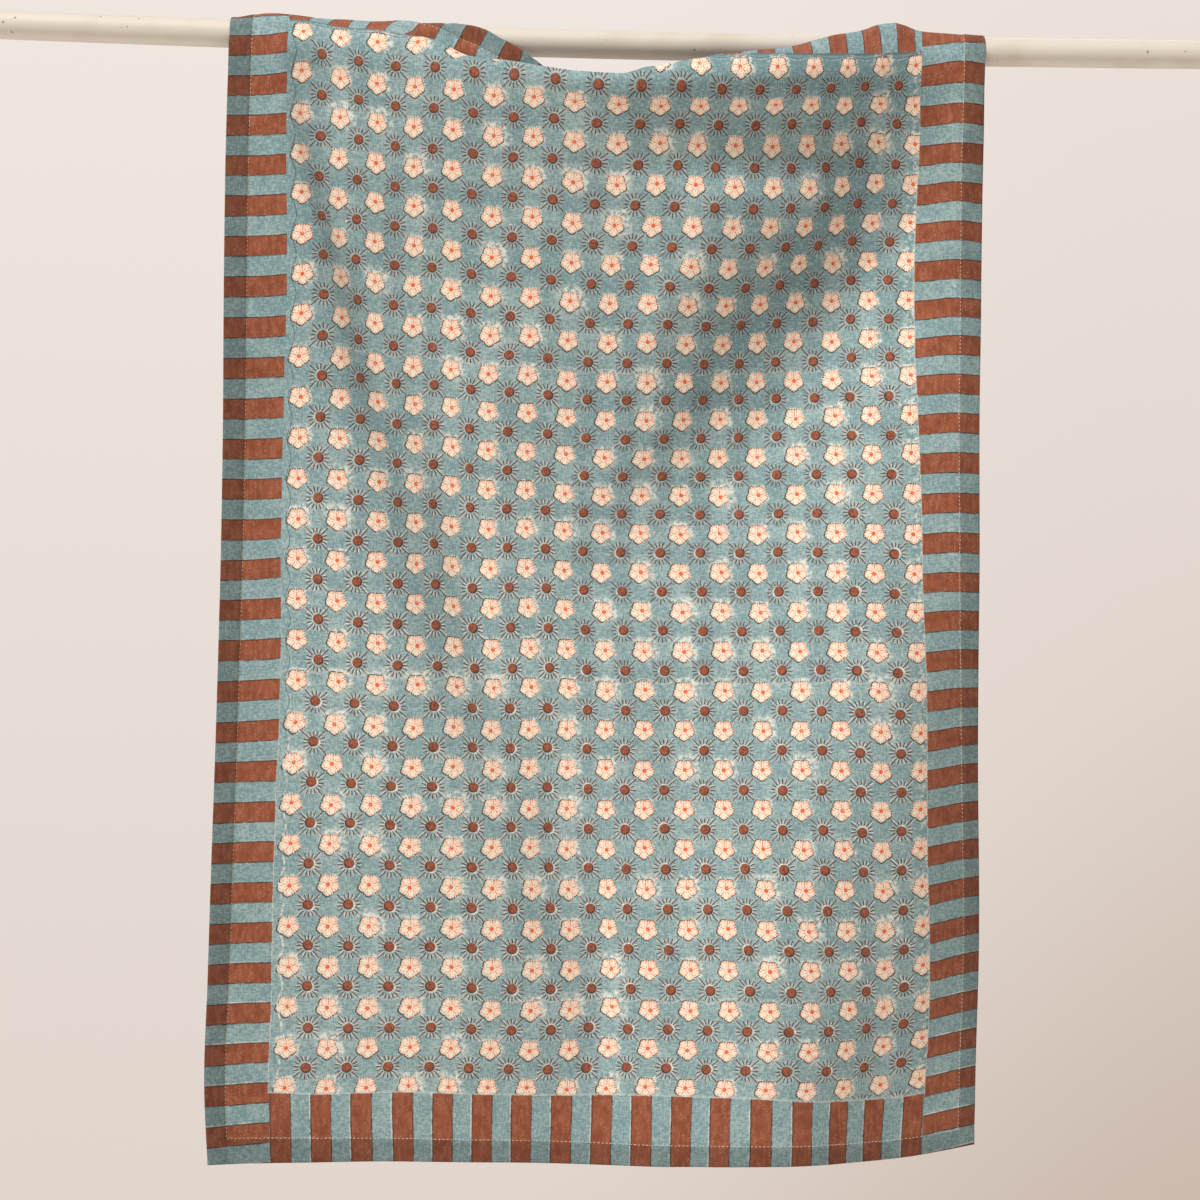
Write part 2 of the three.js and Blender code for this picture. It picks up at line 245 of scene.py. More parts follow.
def front_depths(across, down):
    """Depths of the front at every (down, across): rows down, columns across."""
    rows = []
    for level in down:
        left = float(smooth(FRONT["down"], FRONT["left_crease"], level))
        right = float(smooth(FRONT["down"], FRONT["right_crease"], level))
        depths = [float(smooth(FRONT["down"], FRONT[name], level)) for name in DEPTH_NAMES]
        rows.append(smooth(front_positions(left, right), depths, across))
    return np.array(rows)


def over_rod(names, across):
    """Sections over the rod, one row for each named column."""
    return np.array([smooth(OVER_ROD["across"], OVER_ROD[name], across) for name in names])


def cloth_depths(across, down):
    """Depths of the whole cloth, over the rod and down the front."""
    anchors = front_depths(across, (FRONT_START, FRONT_NEXT))
    distances = OVER_ROD_DISTANCES + (FRONT_START, FRONT_NEXT)
    sections = np.vstack([over_rod(DEPTH_COLUMNS, across), anchors])
    top = smooth(distances, sections, np.minimum(down, FRONT_START))
    front = front_depths(across, np.maximum(down, FIELD_DISTANCE))
    share = np.clip((down - FIELD_DISTANCE) / (FRONT_START - FIELD_DISTANCE), 0, 1)[:, None]
    eased = share * share * (3 - 2 * share)
    return top * (1 - eased) + front * eased


def rod_drop(x):
    return ROD_BOW * (1 - (x / (ROD_LENGTH / 2)) ** 2)


LEAST_SHARE = 0.2
DROP_LEVELS = 353


def running_length(steps, slopes):
    """Length left after a slope into depth, added up from the start."""
    kept = np.sqrt(np.maximum(1 - slopes ** 2, LEAST_SHARE ** 2)) * steps
    return np.concatenate([np.zeros_like(kept[:1]), np.cumsum(kept, axis=0)])


def cloth_middle(across, down):
    """Middle of the cloth's thickness, in millimetres: rows down, points across, x y z."""
    depth = cloth_depths(across, down)

    # Sideways: depth changes across the cloth shorten its width
    levels = np.maximum(down, BELOW_DISTANCE)
    level_depth = cloth_depths(across, levels)
    steps = np.diff(across)[:, None]
    widths = running_length(steps, np.diff(level_depth.T, axis=0) / steps).T
    left = smooth(SIDE_EDGES["down"], SIDE_EDGES["left"], levels)[:, None]
    right = smooth(SIDE_EDGES["down"], SIDE_EDGES["right"], levels)[:, None]
    lean = over_rod(["lean"], across)[0]
    drawn = np.clip(1 - down / FIELD_DISTANCE, 0, 1)[:, None]
    x = left + widths * (right - left) / widths[:, -1:] + lean * drawn

    # Down: over the rod from the table, and below it depth changes shorten the drop
    tops = over_rod(HEIGHT_COLUMNS, across)
    over = smooth(OVER_ROD_DISTANCES + (BELOW_DISTANCE,), tops, np.minimum(down, BELOW_DISTANCE))
    fine = np.linspace(BELOW_DISTANCE, TOWEL_LENGTH, DROP_LEVELS)
    fine_depth = cloth_depths(across, fine)
    fine_steps = np.diff(fine)[:, None]
    drops = running_length(fine_steps, np.diff(fine_depth, axis=0) / fine_steps)
    shares = drops / drops[-1]
    bottom = smooth(BOTTOM_EDGE["across"], BOTTOM_EDGE["height"], across)
    start = tops[-1] - rod_drop(x)
    share = np.array([np.interp(levels, fine, shares[:, i]) for i in range(len(across))]).T
    below = start + (bottom - start) * share
    z = np.where(down[:, None] <= BELOW_DISTANCE, over - rod_drop(x), below)
    return np.stack([x, depth, z], axis=-1)


# Seating on the rod

SEAT_RADIUS = 9.75
EDGE_SEAT_RADIUS = 9.6
SNUG_FROM = 16
SNUG_TO = 11.5
SNUG_BY = 0.85
SEAT_PASSES = 8


def from_rod(points):
    return np.hypot(points[..., 1], points[..., 2] + rod_drop(points[..., 0]))


def push_from_rod(points, by):
    """Moves points away from the rod's axis."""
    distance = from_rod(points)
    grown = (distance + by) / np.maximum(distance, 1e-6)
    height = points[..., 2] + rod_drop(points[..., 0])
    points[..., 1] *= grown
    points[..., 2] = height * grown - rod_drop(points[..., 0])


def seat_on_rod(points, down):
    """The solid's cloth is thicker, so the cloth here lies a little closer, but never in the rod."""
    near = points[down <= BELOW_DISTANCE]
    snug = np.clip((SNUG_FROM - from_rod(near)) / (SNUG_FROM - SNUG_TO), 0, 1)
    push_from_rod(near, -SNUG_BY * snug)
    push_from_rod(near, np.maximum(SEAT_RADIUS - from_rod(near), 0))
    pairs = (
        (np.s_[:, 1:], np.s_[:, :-1]),
        (np.s_[1:, :], np.s_[:-1, :]),
        (np.s_[1:, 1:], np.s_[:-1, :-1]),
    )
    for _ in range(SEAT_PASSES):
        for first, second in pairs:
            short = np.maximum(EDGE_SEAT_RADIUS - from_rod((near[first] + near[second]) / 2), 0)
            push_from_rod(near[first], short)
            push_from_rod(near[second], short)
    points[down <= BELOW_DISTANCE] = near
    return points


# Relief on the cloth: small creases, hem puckers and the stitch line's dip


def crease_relief(across, down):
    """Height of the small creases above the cloth's middle, in millimetres."""
    u, v = np.meshgrid(across, down)
    total = np.zeros_like(u)
    for from_u, from_v, to_u, to_v, width, rise in SMALL_CREASES:
        along = np.array([to_u - from_u, to_v - from_v], float)
        length = np.hypot(*along)
        along /= length
        travel = (u - from_u) * along[0] + (v - from_v) * along[1]
        aside = (u - from_u) * along[1] - (v - from_v) * along[0]
        share = np.clip(travel / length, 0, 1)
        ends = np.sin(np.pi * share) ** 2
        total += rise * ends * np.exp(-((aside / width) ** 2))
    return total


PUCKER_LENGTHS = (7.3, 11.9, 23.0)
PUCKER_HEIGHT = 0.24
PUCKER_WIDTH = 7
FIRST_PHASE = 0.3
PHASE_STEP = 1.3
STITCH_DIP = 0.3
STITCH_DIP_WIDTH = 1.2

# Each hem's stitching, from the cloth's edge: at its start and at its end, left to right or down
LEFT_STITCHING = (15.5, 13)
RIGHT_STITCHING = (14, 11.8)
TOP_STITCHING = (14, 14)
BOTTOM_STITCHING = (16.5, 12)


def inside_stitching(u, v):
    """How far a place lies inside each of the four lines of stitching: below 0 on the hem."""
    along = v / TOWEL_LENGTH
    beside = u / TOWEL_WIDTH
    return (
        u - along * (LEFT_STITCHING[1] - LEFT_STITCHING[0]) - LEFT_STITCHING[0],
        u * -1 - along * (RIGHT_STITCHING[1] - RIGHT_STITCHING[0]) + (TOWEL_WIDTH - RIGHT_STITCHING[0]),
        v - beside * (TOP_STITCHING[1] - TOP_STITCHING[0]) - TOP_STITCHING[0],
        v * -1 - beside * (BOTTOM_STITCHING[1] - BOTTOM_STITCHING[0])
        + (TOWEL_LENGTH - BOTTOM_STITCHING[0]),
    )


def hem_relief(across, down):
    """Puckers along the four hems and the dip that the thread pulls."""
    u, v = np.meshgrid(across, down)
    total = np.zeros_like(u)
    for number, inside in enumerate(inside_stitching(u, v)):
        along = (v, v, u, u)[number]
        phase = FIRST_PHASE + PHASE_STEP * number
        waves = sum(
            np.sin(TURN * along / length + phase * (n + 1))
            for n, length in enumerate(PUCKER_LENGTHS)
        )
        total += PUCKER_HEIGHT / 2 * waves * np.exp(-((inside / PUCKER_WIDTH) ** 2))
        total -= STITCH_DIP * np.exp(-((inside / STITCH_DIP_WIDTH) ** 2))
    return total


def edge_distance(u, v):
    sides = np.minimum(u, TOWEL_WIDTH - u)
    ends = np.minimum(v, TOWEL_LENGTH - v)
    return np.minimum(sides, ends)


# How the printed pattern lies off its even layout, in millimetres: printed by hand, cloth stretched.
# Most moves are a program's medians of offsets measured in the photograph, rounded to half a
# millimetre. Some were corrected from later readings, and the column at 46 is interpolated.
PRINT_PLACES = {
    "across": (25, 46, 68, 94, 120, 172, 224, 276, 328, 380, 432, 470, 495),
    "down": (34, 50, 64, 116, 174, 231, 289, 346, 462, 577, 692),
}
PRINT_ACROSS_MOVES = (
    (0, -0.5, -0.5, 1, 1, -0.5, -2.5, -5.5, -5.5, -2.5, 1.5, 4, 1),
    (0, -0.5, -0.5, 1, 1, -0.5, -2.5, -5.5, -5.5, -2.5, 1.5, 4, 1),
    (0, -0.5, -0.5, 0.5, 1, -0.5, -2, -5, -5, -2, 1.5, 4, 1),
    (-0.5, -1, -1.5, -0.5, 1, 0.5, -0.5, -3, -2, -0.5, 2.5, 4.5, 1),
    (-1, -2.5, -3, -1.5, -1, -0.5, -1, 0.5, 1, 2.5, 6, 5, 1),
    (-1.5, -2.5, -3.5, -3, -1.5, -1, -0.5, 0.5, 2, 4, 5, 4.5, 1),
    (-1, -1, -1.5, -2, -2.5, 0, 0, 0.5, 1, 2.5, 1.5, 1.5, 0),
    (-0.5, -0.5, -0.5, -1.5, -2, -1.5, 0, 1.5, 0.5, 1, -0.5, 0, 0),
    (-1.5, -2.5, -3, -2.5, -2.5, -3.5, -1.5, 0, 0, 1.5, 1.5, 0, 0),
    (-1, -1, -1, -1, -0.5, -1, 0.5, 2.5, 1.5, 3, 4, 2, 0),
    (-2, -2.5, -2.5, -2.5, -3.5, -2.5, -1, -1, -0.5, -1, 1.5, -1, -1),
)
PRINT_DOWN_MOVES = (
    (-10, -8.5, -6, 0, 1, -0.5, -1, -2, -5.5, -5.5, -3.5, -4.5, -3),
    (-6.5, -6, -3, 0.5, 1.5, -0.5, -0.5, -1, -6, -5.5, -3, -4.5, -3),
    (-6, -5.5, -2, 1.5, 2, -0.5, -0.5, 0, -2, -1.5, -1, -4, -3),
    (-5, -5.5, -1.5, 3.5, 3, 0, -0.5, 0, -1.5, -2, -1, -4, -3),
    (-4, -4.5, 0, 4.5, 4, 0, -1, -0.5, -2.5, -1.5, 0, -2.5, -2),
    (-3.5, -3.5, 1, 4.5, 4.5, 1.5, -0.5, 1, -1, -0.5, 0, -1.5, -1),
    (-3, -4, -0.5, 3, 3.5, 2.5, 0.5, 0.5, 0.5, -0.5, -0.5, -1.5, -2),
    (-2.5, -3, -0.5, 2.5, 3.5, 3, 2.5, 3, 2, -0.5, -1, -2.5, -3),
    (-1.5, -1.5, 0.5, 1.5, 1, 1, 2.5, 3, 0.5, -1, -1.5, -2, -1.5),
    (-0.5, -1, 1.5, 3, 2, 1, 1, 2, 1.5, -0.5, 0, 0.5, 1),
    (0, -0.5, -1, 0, 1, 0, -0.5, 1, 0, -1, 0.5, 2, 2.5),
)


def print_move(across, down, moves):
    """One of the moves above at every place on the cloth, across and down."""
    columns = smooth(PRINT_PLACES["down"], np.array(moves, float), down)
    return smooth(PRINT_PLACES["across"], columns.T, across).T


# Meshes


EDGE_LINES = (0, 0.4, 1.2, 4, 8, 11, 12.1, 13.2, 14.3, 15.4, 16.5, 17.6)
MIDDLE_STEP = 3.2


def mesh_lines(length):
    """Lines over the cloth: chosen ones at each hem and even ones between."""
    edge = np.array(EDGE_LINES, float)
    count = round((length - 2 * edge[-1]) / MIDDLE_STEP)
    middle = np.linspace(edge[-1], length - edge[-1], count + 1)
    return np.concatenate([edge[:-1], middle, length - edge[:-1][::-1]])


def grid_normals(points):
    """Unit normals of a grid of points, towards the printed side."""
    along_down = np.gradient(points, axis=0)
    along_across = np.gradient(points, axis=1)
    normals = np.cross(along_down, along_across)
    return normals / np.linalg.norm(normals, axis=-1, keepdims=True)


def add_object(name, vertices, faces, materials, face_materials=None):
    """A smooth-shaded mesh object from vertices in millimetres."""
    mesh = bpy.data.meshes.new(name)
    mesh.from_pydata((np.asarray(vertices) * MM).tolist(), [], faces)
    for material in materials:
        mesh.materials.append(material)
    if face_materials is not None:
        mesh.polygons.foreach_set("material_index", face_materials)
    mesh.polygons.foreach_set("use_smooth", [True] * len(mesh.polygons))
    mesh.update()
    item = bpy.data.objects.new(name, mesh)
    bpy.context.scene.collection.objects.link(item)
    return item


# One unit of the cloth's map is this many millimetres, and the reverse lies beside the front
MAP_SIZE = 1100
REVERSE_OFFSET = 0.5

# In millimetres: where the relief starts and is full, from the rod's axis, how fast a hem thickens
# at its stitching, and how the cloth's edge is rounded
RELIEF_FROM = 11
RELIEF_FULL = 15
HEM_STEP = 1.1
EDGE_START = 0.12
EDGE_ROUNDING = 0.9


def make_cloth(print_material, reverse_material):
    """The towel as one closed sheet: printed skin, reverse skin and a rounded edge."""
    across = mesh_lines(TOWEL_WIDTH)
    down = mesh_lines(TOWEL_LENGTH)
    middle = seat_on_rod(cloth_middle(across, down), down)
    normals = grid_normals(middle)
    relief = crease_relief(across, down) + hem_relief(across, down)
    seated = np.clip((from_rod(middle) - RELIEF_FROM) / (RELIEF_FULL - RELIEF_FROM), 0, 1)
    middle = middle + normals * (relief * seated)[..., None]
    normals = grid_normals(middle)

    u, v = np.meshgrid(across, down)
    hem = np.clip(0.5 - np.min(inside_stitching(u, v), axis=0) / HEM_STEP, 0, 1)
    rounding = np.sqrt(np.clip((edge_distance(u, v) + EDGE_START) / EDGE_ROUNDING, 0, 1))
    half = (CLOTH_THICKNESS + (HEM_THICKNESS - CLOTH_THICKNESS) * hem) / 2 * rounding
    front = middle + normals * half[..., None]
    back = middle - normals * half[..., None]
    vertices = np.concatenate([front.reshape(-1, 3), back.reshape(-1, 3)])

    rows, columns = len(down), len(across)
    index = np.arange(rows * columns).reshape(rows, columns)
    a, b = index[:-1, :-1].ravel(), index[:-1, 1:].ravel()
    c, d = index[1:, 1:].ravel(), index[1:, :-1].ravel()
    skin = rows * columns
    front_faces = np.stack([a, d, c, b], axis=1)
    back_faces = np.stack([a, b, c, d], axis=1) + skin
    rim = np.concatenate([index[0, :-1], index[:-1, -1], index[-1, :0:-1], index[:0:-1, 0]])
    following = np.roll(rim, -1)
    rim_faces = np.stack([rim, following, following + skin, rim + skin], axis=1)
    faces = np.concatenate([front_faces, back_faces, rim_faces])
    reverse = np.zeros(len(faces), int)
    reverse[len(front_faces):len(front_faces) + len(back_faces)] = 1

    towel = add_object(
        "towel_cloth", vertices, faces.tolist(), (print_material, reverse_material), reverse.tolist()
    )
    beside = np.repeat(reverse, 4) * REVERSE_OFFSET
    add_map(towel, "cloth", u, v, beside)
    moved_u = u + print_move(across, down, PRINT_ACROSS_MOVES)
    moved_v = v + print_move(across, down, PRINT_DOWN_MOVES)
    add_map(towel, "print", moved_u, moved_v, beside)
    return towel, (across, down, middle, normals)


def add_map(item, name, u, v, beside):
    """A map of flat places for both skins, the reverse one beside the front one."""
    places = np.stack([u.ravel(), v.ravel()], axis=1) / MAP_SIZE
    places = np.concatenate([places, places])
    corners = np.zeros(len(item.data.loops), int)
    item.data.loops.foreach_get("vertex_index", corners)
    coordinates = places[corners]
    coordinates[:, 0] += beside
    layer = item.data.uv_layers.new(name=name)
    layer.data.foreach_set("uv", coordinates.ravel())


STITCH_PITCH = 2.6
STITCH_LENGTH = 2.15
STITCH_RADIUS = 0.19
STITCH_SIDES = 6
STITCH_RINGS = ((-1, 0.25), (-0.8, 0.8), (-0.3, 1), (0.3, 1), (0.8, 0.8), (1, 0.25))
STITCH_SEED = 7
STITCH_WANDER = 0.12
LENGTH_SHARES = (0.85, 1.1)
# Which side of the cloth, and the thread's height over the cloth's middle
STITCH_LIFTS = ((1, 0.55), (-1, 0.8))
STITCH_END_DIP = 0.32
STITCH_FLATNESS = 0.7
# Where the stitching starts and ends, from the cloth's edge
STITCH_MARGIN = 3
CORNER_MARGIN = 2


def sample_grid(grid, across, down, u, v):
    """Bilinear reading of a grid of values at places on the flat cloth."""
    i = np.clip(np.searchsorted(across, u) - 1, 0, len(across) - 2)
    j = np.clip(np.searchsorted(down, v) - 1, 0, len(down) - 2)
    s = ((u - across[i]) / (across[i + 1] - across[i]))[:, None]
    t = ((v - down[j]) / (down[j + 1] - down[j]))[:, None]
    upper = grid[j, i] * (1 - s) + grid[j, i + 1] * s
    lower = grid[j + 1, i] * (1 - s) + grid[j + 1, i + 1] * s
    return upper * (1 - t) + lower * t


def stitch_runs():
    """The four lines of stitching, each as its two ends on the flat cloth."""
    left, right = LEFT_STITCHING, [TOWEL_WIDTH - inset for inset in RIGHT_STITCHING]
    top, bottom = TOP_STITCHING, [TOWEL_LENGTH - inset for inset in BOTTOM_STITCHING]
    return (
        ((left[0], STITCH_MARGIN), (left[1], bottom[0])),
        ((right[0], STITCH_MARGIN), (right[1], TOWEL_LENGTH - CORNER_MARGIN)),
        ((STITCH_MARGIN, top[0]), (TOWEL_WIDTH - STITCH_MARGIN, top[1])),
        ((CORNER_MARGIN, bottom[0]), (TOWEL_WIDTH - STITCH_MARGIN, bottom[1])),
    )


def make_stitching(surface, material):
    """Every stitch of the four hems, on both faces of the cloth."""
    across, down, middle, normals = surface
    random = np.random.default_rng(STITCH_SEED)
    vertices = []
    faces = []
    for (start_u, start_v), (end_u, end_v) in stitch_runs():
        length = math.hypot(end_u - start_u, end_v - start_v)
        count = int(length / STITCH_PITCH)
        travel = (np.arange(count) + 0.5) / count
        wander = random.normal(0, STITCH_WANDER, count)
        runs_down = abs(end_v - start_v) > abs(end_u - start_u)
        u = start_u + (end_u - start_u) * travel + wander * runs_down
        v = start_v + (end_v - start_v) * travel + wander * (not runs_down)
        half = STITCH_LENGTH / 2 * random.uniform(*LENGTH_SHARES, count)
        step_u = (end_u - start_u) / length * half
        step_v = (end_v - start_v) / length * half
        first = sample_grid(middle, across, down, u - step_u, v - step_v)
        second = sample_grid(middle, across, down, u + step_u, v + step_v)
        centre = sample_grid(middle, across, down, u, v)
        normal = sample_grid(normals, across, down, u, v)
        for side, lift in STITCH_LIFTS:
            for k in range(count):
                add_stitch(
                    vertices, faces, centre[k], (second[k] - first[k]) / 2, normal[k] * side, lift
                )
    return add_object("hem_stitching", vertices, faces, (material,))


def tube_faces(base, rings, sides):
    """Faces round a tube of this many rings, with both its ends closed. Base is its first vertex."""
    faces = []
    for ring in range(rings - 1):
        for n in range(sides):
            a = base + ring * sides + n
            b = base + ring * sides + (n + 1) % sides
            faces.append((a, b, b + sides, a + sides))
    last = base + (rings - 1) * sides
    faces.append(tuple(base + n for n in reversed(range(sides))))
    faces.append(tuple(last + n for n in range(sides)))
    return faces


def add_stitch(vertices, faces, centre, half, normal, lift):
    """One stitch: a short round thread, pulled into the cloth at both ends."""
    along = half / np.linalg.norm(half)
    aside = np.cross(normal, along)
    base = len(vertices)
    for place, girth in STITCH_RINGS:
        ring = centre + half * place + normal * (lift - STITCH_END_DIP * abs(place) ** 3)
        for n in range(STITCH_SIDES):
            angle = TURN * n / STITCH_SIDES
            spoke = aside * math.cos(angle) + normal * math.sin(angle) * STITCH_FLATNESS
            vertices.append(ring + spoke * STITCH_RADIUS * girth)
    faces.extend(tube_faces(base, len(STITCH_RINGS), STITCH_SIDES))


ROD_SIDES = 96
ROD_STEPS = 84
ROD_END_ROUNDING = 0.8
# The last rings of each rounded end: how far from the end, and how much thinner than the rod
ROD_END_RINGS = ((0.3, 0.35), (0, 0.85))


def make_rod(material):
    """The bowed rod, its end edges a little rounded."""
    half = ROD_LENGTH / 2
    middle = np.linspace(-half + ROD_END_ROUNDING, half - ROD_END_ROUNDING, ROD_STEPS)
    stations = [(x, ROD_RADIUS) for x in middle]
    for x, thinner in ROD_END_RINGS:
        stations.append((half - x, ROD_RADIUS - thinner))
        stations.insert(0, (-half + x, ROD_RADIUS - thinner))
    vertices = []
    for x, girth in stations:
        for n in range(ROD_SIDES):
            angle = TURN * n / ROD_SIDES
            vertices.append((x, girth * math.cos(angle), girth * math.sin(angle) - rod_drop(x)))
    faces = tube_faces(0, len(stations), ROD_SIDES)
    return add_object("rod_painted", vertices, faces, (material,))


# Shader arithmetic


def paint(red, green, blue):
    """Linear colour from an everyday 0 to 255 colour."""
    values = []
    for part in (red, green, blue):
        share = part / 255
        values.append(share / 12.92 if share <= 0.04045 else ((share + 0.055) / 1.055) ** 2.4)
    return (*values, 1)


def operation(name):
    """A method that does one kind of shader arithmetic."""
    return lambda self, *others: self.math(name, *others)


class Number:
    """A value in a shader. Arithmetic on it adds the nodes that work it out."""

    __add__ = operation("ADD")
    __sub__ = operation("SUBTRACT")
    __mul__ = operation("MULTIPLY")
    __truediv__ = operation("DIVIDE")
    floor = operation("FLOOR")
    fract = operation("FRACT")
    size = operation("ABSOLUTE")
    least = operation("MINIMUM")
    most = operation("MAXIMUM")
    wave = operation("COSINE")

    def __init__(self, tree, socket):
        self.tree = tree
        self.socket = socket

    def math(self, operation, *others):
        node = self.tree.nodes.new("ShaderNodeMath")
        node.operation = operation
        for slot, value in zip(node.inputs, (self, *others)):
            plug(self.tree, value, slot)
        return Number(self.tree, node.outputs[0])

    def flipped(self):
        """One less this value."""
        return self * -1 + 1

    def rise(self, low, high):
        """0 below low, 1 above high, and a smooth step between."""
        node = self.tree.nodes.new("ShaderNodeMapRange")
        node.interpolation_type = "SMOOTHSTEP"
        plug(self.tree, self, node.inputs["Value"])
        plug(self.tree, low, node.inputs["From Min"])
        plug(self.tree, high, node.inputs["From Max"])
        return Number(self.tree, node.outputs["Result"])

    def fall(self, low, high):
        """1 below low and 0 above high."""
        return self.rise(low, high).flipped()


def plug(tree, value, slot):
    """Links a number or colour into a socket, or sets the socket."""
    if isinstance(value, Number):
        tree.links.new(value.socket, slot)
    else:
        slot.default_value = value


def point(x, y, z):
    """Three values as one vector. Any of them may be a plain number."""
    tree = next(part.tree for part in (x, y, z) if isinstance(part, Number))
    node = tree.nodes.new("ShaderNodeCombineXYZ")
    for part, slot in zip((x, y, z), node.inputs):
        plug(tree, part, slot)
    return Number(tree, node.outputs[0])


def split(vector):
    node = vector.tree.nodes.new("ShaderNodeSeparateXYZ")
    plug(vector.tree, vector, node.inputs[0])
    return [Number(vector.tree, output) for output in node.outputs]


def noise(place, scale, detail, roughness=0.5):
    """Soft noise from 0 to 1 with about scale bumps a unit."""
    node = place.tree.nodes.new("ShaderNodeTexNoise")
    node.inputs["Scale"].default_value = scale
    node.inputs["Detail"].default_value = detail
    node.inputs["Roughness"].default_value = roughness
    plug(place.tree, place, node.inputs["Vector"])
    return Number(place.tree, node.outputs["Fac"])


def draw(place):
    """Three random numbers, from 0 to 1, that stay the same for one place."""
    node = place.tree.nodes.new("ShaderNodeTexWhiteNoise")
    node.noise_dimensions = "3D"
    plug(place.tree, place, node.inputs["Vector"])
    return split(Number(place.tree, node.outputs["Color"]))


def ripple(place, length):
    """A wave from -1 to 1, with one crest each length."""
    return (place * (TURN / length)).wave()


def mixed(share, first, second, mode="MIX"):
    """Colour between first and second."""
    tree = share.tree
    node = tree.nodes.new("ShaderNodeMix")
    node.data_type = "RGBA"
    node.blend_type = mode
    plug(tree, share, node.inputs[0])
    plug(tree, first, node.inputs[6])
    plug(tree, second, node.inputs[7])
    return Number(tree, node.outputs[2])


# The print, in millimetres on the flat cloth. The colours are the dyes, before light falls on them, and
# painted shade where it is named below

PITCH = 25.86
FIRST_SUN = (60.9, 60.5)
FIRST_FLOWER = (FIRST_SUN[0] + PITCH / 2, FIRST_SUN[1] + PITCH / 2)
BLOCK_COLUMNS = 7
BLOCK_ROWS = 8
BLOCK_SHIFT = 1.2
MOTIF_SHIFT = 0.5
MOTIF_TURN = 0.16
FIELD_LEFT = 38.3
FIELD_RIGHT = 466
FIELD_TOP = 38.4
FIELD_BOTTOM = 724.3
FIELD_BOTTOM_DROP = 6.5

GROUND = paint(146, 169, 170)
GROUND_DEEP = paint(104, 138, 144)
GROUND_PALE = paint(176, 195, 195)
BLEACHED = paint(236, 235, 224)
CREAM = paint(241, 229, 208)
CORAL = paint(226, 104, 62)
DISC = paint(150, 84, 60)
DISC_EDGE = paint(66, 38, 30)
RAY = paint(84, 54, 46)
RAY_WARM = paint(134, 78, 66)
BROWN = paint(150, 84, 57)
BROWN_DEEP = paint(126, 65, 42)
BROWN_PALE = paint(196, 138, 108)
OUTLINE = paint(70, 44, 38)
SHADOW_INK = paint(70, 62, 46)
RING_INK = paint(78, 104, 108)
HEM_SHADE = paint(60, 48, 36)


def nearest_motif(across, down, first, seed):
    """The nearest motif of the lattice: x and y from its centre, and random numbers for it."""
    column = ((across - first[0]) / PITCH + 0.5).floor()
    row = ((down - first[1]) / PITCH + 0.5).floor()
    block = draw(point((column / BLOCK_COLUMNS).floor(), (row / BLOCK_ROWS).floor(), 3.5))
    own = draw(point(column, row, seed))
    x = across - first[0] - column * PITCH
    y = down - first[1] - row * PITCH
    x = x - (block[0] - 0.5) * BLOCK_SHIFT - (own[0] - 0.5) * MOTIF_SHIFT
    y = y - (block[1] - 0.5) * BLOCK_SHIFT - (own[1] - 0.5) * MOTIF_SHIFT
    turn = (own[2] - 0.5) * MOTIF_TURN
    return x + y * turn, y - x * turn, block, own


def radius(x, y):
    return (x * x + y * y).math("SQRT")


PETALS = 5
PETAL_ANGLE = TURN / PETALS
FLOWER_SIDE = 6.05
FLOWER_TIP = 7.0
PETAL_TEETH = 5


def flower_outline(x, y, tooth=0.34):
    """Distance from the centre, petal share from -0.5 to 0.5, and the outline's radius there."""
    petal = (x.math("ARCTAN2", y) / PETAL_ANGLE + 0.5).fract() - 0.5
    off_side = (petal.size() * -2 + 1) * (PETAL_ANGLE / 2)
    outline = (off_side.wave().math("POWER", -1) * FLOWER_SIDE).least(FLOWER_TIP)
    teeth = (petal * (TURN * PETAL_TEETH)).wave() * tooth
    notch = petal.size().rise(0.38, 0.5) * 0.8
    return radius(x, y), petal, outline + teeth - notch


def ray_line(petal, at, distance, width):
    """A fine line that runs out from the centre at one petal share."""
    return ((petal - at).size() * distance * PETAL_ANGLE).fall(width * 0.45, width)


